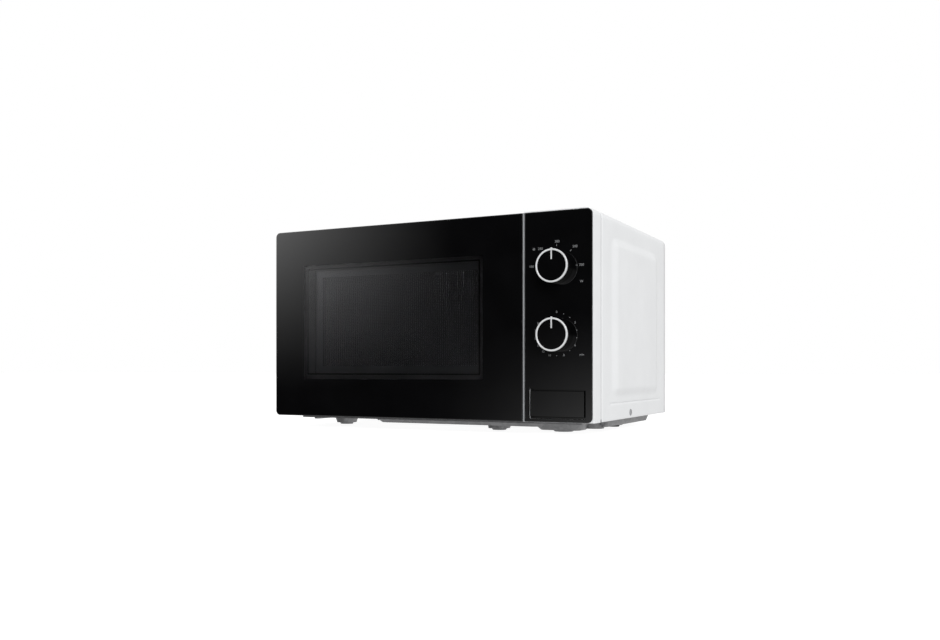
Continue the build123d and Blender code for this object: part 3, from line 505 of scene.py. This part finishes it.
def band(outer, inner, rings):
    """Solid ring between two outlines of equal length, from rings of (share, depth) pairs.

    A share of 0 lies on the outer outline and 1 on the inner one."""
    verts = []
    for share, depth in rings:
        for (ox, oz), (ix, iz) in zip(outer, inner):
            verts.append(at(ox + (ix - ox) * share, depth, oz + (iz - oz) * share))
    return verts, walls(len(rings), len(outer))


# ---------------------------------------------------------------- door glass with its window

# Left, right, lower and upper edge of the window
WINDOW = (-172.7, 84.0, 47.9, 195.0)
WINDOW_RADIUS = 1.5
GLASS_THICK = 3.2
BEVEL = 0.8
GLASS_RADIUS = 6.0
# Corner radius of the glass on the side of the control panel
SHARP_RADIUS = 0.4
# Clearance between the pane and the print round it, and between their faces
PANE_GAP = 0.02
PANE_SINK = 0.01


def make_door_glass():
    """Black printed sheet with a clear window in it, and the clear pane in the window."""
    left, _, low = from_front(GLASS_LOW)
    right, _, high = from_front(GLASS_HIGH)
    outline = rounded_outline(left, right, low, high,
                              (GLASS_RADIUS, SHARP_RADIUS, SHARP_RADIUS, GLASS_RADIUS))
    inset = rounded_outline(left + BEVEL, right - BEVEL, low + BEVEL, high - BEVEL,
                            (GLASS_RADIUS - BEVEL, SHARP_RADIUS - 0.1, SHARP_RADIUS - 0.1,
                             GLASS_RADIUS - BEVEL))
    window = rounded_outline(*WINDOW, [WINDOW_RADIUS] * 4)
    verts = [at(x, BEVEL, z) for x, z in outline]
    verts += [at(x, 0, z) for x, z in inset]
    verts += [at(x, 0, z) for x, z in window]
    verts += [at(x, GLASS_THICK, z) for x, z in window]
    verts += [at(x, GLASS_THICK, z) for x, z in outline]
    print_mesh = mesh_of("glass_print", verts, walls(5, len(outline)))
    print_piece = new_piece("glass_print", print_mesh, "door", "printed_glass")
    x0, x1, z0, z1 = WINDOW
    pane_outline = rounded_outline(x0 + PANE_GAP, x1 - PANE_GAP, z0 + PANE_GAP, z1 - PANE_GAP,
                                   [WINDOW_RADIUS] * 4)
    verts = [at(x, depth, z) for depth in (PANE_SINK, GLASS_THICK - PANE_SINK) for x, z in pane_outline]
    pane_mesh = mesh_of("window_pane", verts, slab(len(pane_outline)))
    pane = new_piece("window_pane", pane_mesh, "door", "window_glass")
    # The pane's edges meet the black print, so they are black too
    pane.data.materials.append(looks["recess_black"])
    for polygon in pane.data.polygons:
        if abs(polygon.normal.y) < 0.5:
            polygon.material_index = 1
    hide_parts("door_glass")
    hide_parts("door_glass")


make_door_glass()


# Left, right, lower and upper edge of the groove's two outlines, and its depths
GROOVE_OUTER = (-175.7, 75.0, 53.5, 192.0)
GROOVE_INNER = (-174.3, 73.3, 55.2, 190.2)
GROOVE_RADIUS = 1
GROOVE_FRONT, GROOVE_EDGE, GROOVE_BACK = 12.9, 12.96, 15.1


def make_groove_shade():
    """Near-black groove round the plate behind the window, without shine: painted shade for the shadow
    inside the groove.
    """
    outer = rounded_outline(*GROOVE_OUTER, [GROOVE_RADIUS] * 4)
    inner = rounded_outline(*GROOVE_INNER, [GROOVE_RADIUS] * 4)
    rings = ((0, GROOVE_EDGE), (0.1, GROOVE_FRONT), (0.9, GROOVE_FRONT),
             (1, GROOVE_EDGE), (1, GROOVE_BACK), (0, GROOVE_BACK))
    verts, faces = band(outer, inner, rings)
    # The ring is painted shade, near-black where the groove's shadow falls
    new_piece("window_groove_painted_shade", mesh_of("window_groove_painted_shade", verts, faces), "door", "painted_groove_shade")


make_groove_shade()


# ---------------------------------------------------------------- perforated screen

HOLE_PITCH = 2.9
ROW_PITCH = 1.9
HOLE_RADIUS = 0.72
HOLE_SIDES = 8


def make_screen():
    """Steel sheet pierced by a square grid of round holes."""
    low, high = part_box("perforated_screen")
    x0, front, z0 = from_front(low)
    x1, back, z1 = from_front(high)
    columns = round((x1 - x0) / HOLE_PITCH)
    rows = round((z1 - z0) / ROW_PITCH)
    step_x, step_z = (x1 - x0) / columns, (z1 - z0) / rows
    builder = bmesh.new()
    corner = {}
    for side, depth in enumerate((front, back)):
        for column in range(columns + 1):
            for row in range(rows + 1):
                place = at(x0 + column * step_x, depth, z0 + row * step_z)
                corner[side, column, row] = builder.verts.new(place)
    for column in range(columns):
        for row in range(rows):
            centre_x = x0 + (column + 0.5) * step_x
            centre_z = z0 + (row + 0.5) * step_z
            rims = []
            for side, depth in enumerate((front, back)):
                rim = []
                for index in range(HOLE_SIDES):
                    angle = math.radians(225 + 360 / HOLE_SIDES * index)
                    rim.append(builder.verts.new(at(centre_x + HOLE_RADIUS * math.cos(angle), depth,
                                                    centre_z + HOLE_RADIUS * math.sin(angle))))
                rims.append(rim)
                square = [corner[side, column, row], corner[side, column + 1, row],
                          corner[side, column + 1, row + 1], corner[side, column, row + 1]]
                for quarter in range(4):
                    a, b, c = (rim[(2 * quarter + shift) % HOLE_SIDES] for shift in range(3))
                    builder.faces.new((square[quarter], square[(quarter + 1) % 4], c, b, a))
            for index in range(HOLE_SIDES):
                following = (index + 1) % HOLE_SIDES
                builder.faces.new((rims[0][index], rims[0][following], rims[1][following], rims[1][index]))
    for column in range(columns):
        for row in (0, rows):
            builder.faces.new((corner[0, column, row], corner[0, column + 1, row],
                               corner[1, column + 1, row], corner[1, column, row]))
    for row in range(rows):
        for column in (0, columns):
            builder.faces.new((corner[0, column, row], corner[0, column, row + 1],
                               corner[1, column, row + 1], corner[1, column, row]))
    bmesh.ops.recalc_face_normals(builder, faces=builder.faces)
    mesh = bpy.data.meshes.new("pierced_screen")
    builder.to_mesh(mesh)
    builder.free()
    screen = new_piece("pierced_screen", mesh, "door", "window_plate")
    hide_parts("perforated_screen")


make_screen()


# ---------------------------------------------------------------- cabinet

def smooth_rise(value):
    """Smooth step from 0 to 1."""
    value = min(max(value, 0.0), 1.0)
    return value * value * (3 - 2 * value)


# Feet of the side pad's front, back, lower and upper slopes, and the width of each slope
PAD_FRONT, PAD_FRONT_WIDTH = 64, 24
PAD_BACK, PAD_BACK_WIDTH = 275, 20
PAD_LOW, PAD_LOW_WIDTH = 26.5, 13
PAD_HIGH, PAD_HIGH_WIDTH = 218, 12.5
PAD_RISE = 3.0
CREASE_DEPTH = 0.75
CREASE_HEIGHT, CREASE_WIDTH = 19.7, 1.15
CREASE_FRONT, CREASE_BACK, CREASE_FADE = 59.5, 289, 3
SHEET = 0.8
HALF_WIDTH = 220.0
TOP_RADIUS = 9.5
# How far the sheet's front and back edges are rounded off
EDGE = 0.35
FLANGE = 13.0


def pad_rise(depth, height):
    """How far the pressed side pad stands out at a place on the side, from 0 to 1."""
    along = ((depth - PAD_FRONT) / PAD_FRONT_WIDTH, (PAD_BACK - depth) / PAD_BACK_WIDTH)
    upright = ((height - PAD_LOW) / PAD_LOW_WIDTH, (PAD_HIGH - height) / PAD_HIGH_WIDTH)
    near_end, near_level = (min(max(min(pair), 0), 1) for pair in (along, upright))
    # The two slopes meet round a corner instead of along a crease
    missing = math.hypot(1 - near_end, 1 - near_level)
    return smooth_rise(1 - missing)


def crease(depth, height):
    """Depth of the pressed line along the foot of the side, from 0 to 1."""
    front_fade = smooth_rise((depth - CREASE_FRONT) / CREASE_FADE)
    back_fade = smooth_rise((CREASE_BACK - depth) / CREASE_FADE)
    return front_fade * back_fade * math.exp(-((height - CREASE_HEIGHT) / CREASE_WIDTH) ** 2)


def row_of(start, step, count):
    """Evenly spaced values."""
    return [start + step * index for index in range(count)]


def make_cabinet():
    """Bent sheet over the top and sides, pressed with a pad and a crease on each side."""
    low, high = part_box("outer_cabinet")
    front, back = from_front(low)[1], from_front(high)[1]
    bottom, top = from_front(low)[2], from_front(high)[2]
    # The rows lie close together across the crease and the pad's slopes
    heights = [bottom + 0.6, bottom + 3, *row_of(15.5, 0.4, 22), *row_of(25.4, 1.1, 15), *row_of(45, 9, 18),
               *row_of(203.5, 1.1, 15), 222, 226.5]
    # Outer face from the lower right, over the top, to the lower left, with the way it faces
    outline = [(HALF_WIDTH - 0.6, bottom, -1, 0), (HALF_WIDTH - 0.18, bottom + 0.18, 0, 0)]
    outline += [(HALF_WIDTH, height, 1, 0) for height in heights]
    for step in range(9):
        angle = math.radians(90 * step / 8)
        outline.append((HALF_WIDTH - TOP_RADIUS + TOP_RADIUS * math.cos(angle),
                        top - TOP_RADIUS + TOP_RADIUS * math.sin(angle), math.cos(angle), math.sin(angle)))
    outline += [(-x, height, -normal_x, normal_z) for x, height, normal_x, normal_z in reversed(outline)]
    depths = [front, front + EDGE, 36, 50, *row_of(56, 1, 8), 66, 68, *row_of(70, 1.4, 15),
              *row_of(96, 9.5, 16), 245, 250, *row_of(253, 1.4, 17), 280, *row_of(285.5, 1, 5), 296, 306,
              back - EDGE, back]
    verts, faces = [], []
    for depth in depths:
        pull = EDGE if depth in (front, back) else 0.0
        for x, height, normal_x, normal_z in outline:
            side = 1 if x > 0 else -1
            push = 0.0
            if abs(x) == HALF_WIDTH:
                push = PAD_RISE * pad_rise(depth, height) - CREASE_DEPTH * crease(depth, height)
            verts.append(at(x + side * push - normal_x * pull, depth, height - normal_z * pull))
    count = len(outline)
    for row in range(len(depths) - 1):
        for step in range(count - 1):
            first = row * count + step
            faces.append((first, first + 1, first + count + 1, first + count))
    mesh = bpy.data.meshes.new("cabinet_shell")
    mesh.from_pydata([tuple(v) for v in verts], [], faces)
    for polygon in mesh.polygons:
        polygon.use_smooth = True
    shell = new_piece("cabinet_shell", mesh, "oven", "white_paint")
    thick = shell.modifiers.new("sheet", "SOLIDIFY")
    thick.thickness = SHEET * MM
    thick.offset = -1
    thick.use_even_offset = True
    # Turn the faces outwards so that the sheet thickens inwards
    centre = (cad_low + cad_high) / 2
    face = mesh.polygons[len(mesh.polygons) // 2]
    if face.normal.dot(face.center - centre) < 0:
        mesh.flip_normals()
    # Narrow flange round the back
    inset = 0.3
    outer_line = rounded_outline(-HALF_WIDTH + inset, HALF_WIDTH - inset, bottom, top - inset,
                                 (0.4, 0.4, TOP_RADIUS, TOP_RADIUS))
    inner_line = rounded_outline(-HALF_WIDTH + FLANGE, HALF_WIDTH - FLANGE, bottom, top - FLANGE,
                                 (0.4, 0.4, 3, 3))
    rings = ((0, back - SHEET), (0, back - inset), (0.03, back),
             (0.97, back), (1, back - inset), (1, back - SHEET))
    verts, faces = band(outer_line, inner_line, rings)
    flange = new_piece("cabinet_rear_flange", mesh_of("cabinet_rear_flange", verts, faces), "oven",
                       "white_paint")
    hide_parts("outer_cabinet")
    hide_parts("outer_cabinet")


make_cabinet()


# The seam's ring lies just inside the cabinet's outline and reaches a little way inwards
SEAM_INSET = 0.1
SEAM_DEEP = 2.4
SEAM_FOOT = 0.6
SEAM_FOOT_RADIUS = 0.5
SEAM_FRONT, SEAM_BACK = 27.85, 28.5


def make_seam_shade():
    """Near-black band in the gap between the control box and the cabinet: painted shade for the shadow in
    the seam.
    """
    half = HALF_WIDTH - SEAM_INSET
    top = from_front(cad_high)[2] - SEAM_INSET
    outer_radius = TOP_RADIUS - SEAM_INSET
    outer = rounded_outline(-half, half, 0, top,
                            (SEAM_FOOT_RADIUS, SEAM_FOOT_RADIUS, outer_radius, outer_radius))
    half -= SEAM_DEEP
    inner_radius = 7.4
    inner = rounded_outline(-half, half, SEAM_FOOT, top - SEAM_DEEP,
                            (SEAM_FOOT_RADIUS, SEAM_FOOT_RADIUS, inner_radius, inner_radius))
    rings = ((0, SEAM_FRONT), (0, SEAM_BACK), (1, SEAM_BACK), (1, SEAM_FRONT))
    verts, faces = band(outer, inner, rings)
    # The band is painted shade, near-black where the seam's shadow falls
    new_piece("cabinet_seam_shade", mesh_of("cabinet_seam_shade", verts, faces), "oven", "painted_gap_shade")


make_seam_shade()


# Outer and inner radius of the rim, and how far out its two faces are
WELL_RADIUS, WELL_HOLE = 4.1, 2.7
WELL_INNER, WELL_OUTER = 219.6, 220.06
WELL_STEPS = 24
# The notch's extent across the side, in depth and in height
NOTCH = ((218.4, 220.05), (26.2, 29.4), (-0.28, 3.4))


def make_screw_well_shades():
    """Near-black rim round each side screw, and a near-black block in the notch at the foot of each seam:
    painted shade for the shadow in these recesses.
    """
    low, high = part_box("side_screws")
    _, depth, height = from_front((low + high) / 2)
    for side, label in ((1, "right"), (-1, "left")):
        verts = []
        for x, radius in ((WELL_INNER, WELL_RADIUS), (WELL_OUTER, WELL_RADIUS),
                          (WELL_OUTER, WELL_HOLE), (WELL_INNER, WELL_HOLE)):
            for step in range(WELL_STEPS):
                angle = 2 * math.pi * step / WELL_STEPS
                verts.append(at(side * x, depth + radius * math.cos(angle),
                                height + radius * math.sin(angle)))
        well = mesh_of(f"screw_well_shade_{label}", verts, walls(4, WELL_STEPS))
        # The rim is painted shade round the screw's recess
        new_piece(f"screw_well_shade_{label}", well, "oven", "painted_gap_shade")
        verts = [at(side * x, y, z) for x in NOTCH[0] for y in NOTCH[1] for z in NOTCH[2]]
        faces = [(0, 1, 3, 2), (4, 5, 7, 6), (0, 1, 5, 4), (2, 3, 7, 6), (0, 2, 6, 4), (1, 3, 7, 5)]
        notch = mesh_of(f"seam_notch_shade_{label}", verts, faces)
        builder = bmesh.new()
        builder.from_mesh(notch)
        bmesh.ops.bevel(builder, geom=list(builder.edges), offset=0.3 * MM, segments=2, affect="EDGES")
        builder.to_mesh(notch)
        builder.free()
        # The block is painted shade filling the notch
        new_piece(f"seam_notch_shade_{label}", notch, "oven", "painted_gap_shade")


make_screw_well_shades()


# ---------------------------------------------------------------- dial prints

DIAL_X = 176.7
POWER_HEIGHT = 177.6
TIMER_HEIGHT = 100.2
PRINT_LIFT = 0.03
PRINT_THICK = 0.05
# Distances of the ticks, dots and numbers from the middle of their dial
POWER_TICK_REACH = 24
TIMER_DOT_REACH = 24.4
TIMER_LABEL_REACH = 25.4
# Heights of the characters
POWER_TEXT, TIMER_TEXT, UNIT_TEXT = 4.0, 3.7, 3.6
TICK_LENGTH, TICK_WIDTH = 2.4, 0.6
DOT = 1.0
# Frost star before the defrosting power
STAR_X, STAR_HEIGHT = 149.0, 198.4
STAR_LENGTH, STAR_WIDTH = 3.6, 0.5


def words(name, text, x, height, size):
    """Raised printed characters centred at a place on the control panel."""
    data = bpy.data.curves.new(name, "FONT")
    data.body = text
    data.size = size * MM
    data.align_x = "CENTER"
    data.align_y = "CENTER"
    data.extrude = PRINT_THICK * MM / 2
    data.resolution_u = 3
    source = bpy.data.objects.new(name, data)
    bpy.context.collection.objects.link(source)
    bpy.context.view_layer.update()
    mesh = bpy.data.meshes.new_from_object(source)
    bpy.data.objects.remove(source)
    place = at(x, -PRINT_LIFT, height)
    for vertex in mesh.vertices:
        flat = vertex.co.copy()
        vertex.co = Vector((place.x + flat.x, place.y - flat.z, place.z + flat.y))
    mesh.materials.clear()
    return new_piece(name, mesh, "oven", "white_print")


def mark(name, x, height, angle, length, width):
    """Raised printed tick with rounded ends, centred at a place and turned by an angle."""
    steps = 6
    half = max(length - width, 0) / 2
    outline = []
    for end, start in ((1, -90), (-1, 90)):
        for step in range(steps + 1):
            turn = math.radians(start + 180 * step / steps)
            outline.append((end * half + width / 2 * math.cos(turn), width / 2 * math.sin(turn)))
    lean = math.radians(angle)
    verts = []
    for depth in (-PRINT_LIFT - PRINT_THICK / 2, -PRINT_LIFT + PRINT_THICK / 2):
        for u, v in outline:
            verts.append(at(x + u * math.cos(lean) - v * math.sin(lean), depth,
                            height + u * math.sin(lean) + v * math.cos(lean)))
    return new_piece(name, mesh_of(name, verts, slab(len(outline))), "oven", "white_print")


def on_dial(turn, reach, dial_height):
    """x and height of a place on a dial's scale, with turn in degrees clockwise from the top."""
    bearing = math.radians(90 - turn)
    return DIAL_X + reach * math.cos(bearing), dial_height + reach * math.sin(bearing)


POWER_LABELS = (("100", 146.1, 178.4), ("250", 157.0, 198.4), ("380", 177.2, 205.6), ("500", 198.6, 198.9),
                ("700", 206.3, 177.7), ("W", 206.3, 159.2))
for text, x, height in POWER_LABELS:
    words(f"power_mark_{text}", text, x, height, POWER_TEXT)
for turn in (-90, -45, 0, 45, 90):
    mark(f"power_tick_{turn + 90}", *on_dial(turn, POWER_TICK_REACH, POWER_HEIGHT), 90 - turn,
         TICK_LENGTH, TICK_WIDTH)
for turn in (0, 60, 120):
    mark(f"frost_star_{turn}", STAR_X, STAR_HEIGHT, turn, STAR_LENGTH, STAR_WIDTH)

TIMER_LABELS = ((0, "0"), (60, "3"), (120, "6"), (160, "8"), (200, "10"), (220, "15"), (240, "20"),
                (260, "25"), (280, "30"), (300, "35"))
for turn, text in TIMER_LABELS:
    words(f"timer_mark_{text}", text, *on_dial(turn, TIMER_LABEL_REACH, TIMER_HEIGHT), TIMER_TEXT)
for turn in (20, 40, 80, 100, 140, 180):
    mark(f"timer_dot_{turn}", *on_dial(turn, TIMER_DOT_REACH, TIMER_HEIGHT), 0, DOT, DOT)
words("timer_unit_mark", "min", 206.5, 76.9, UNIT_TEXT)


# ---------------------------------------------------------------- finish

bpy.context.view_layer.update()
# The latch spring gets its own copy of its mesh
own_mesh(frame["nodes"]["latch_spring"])
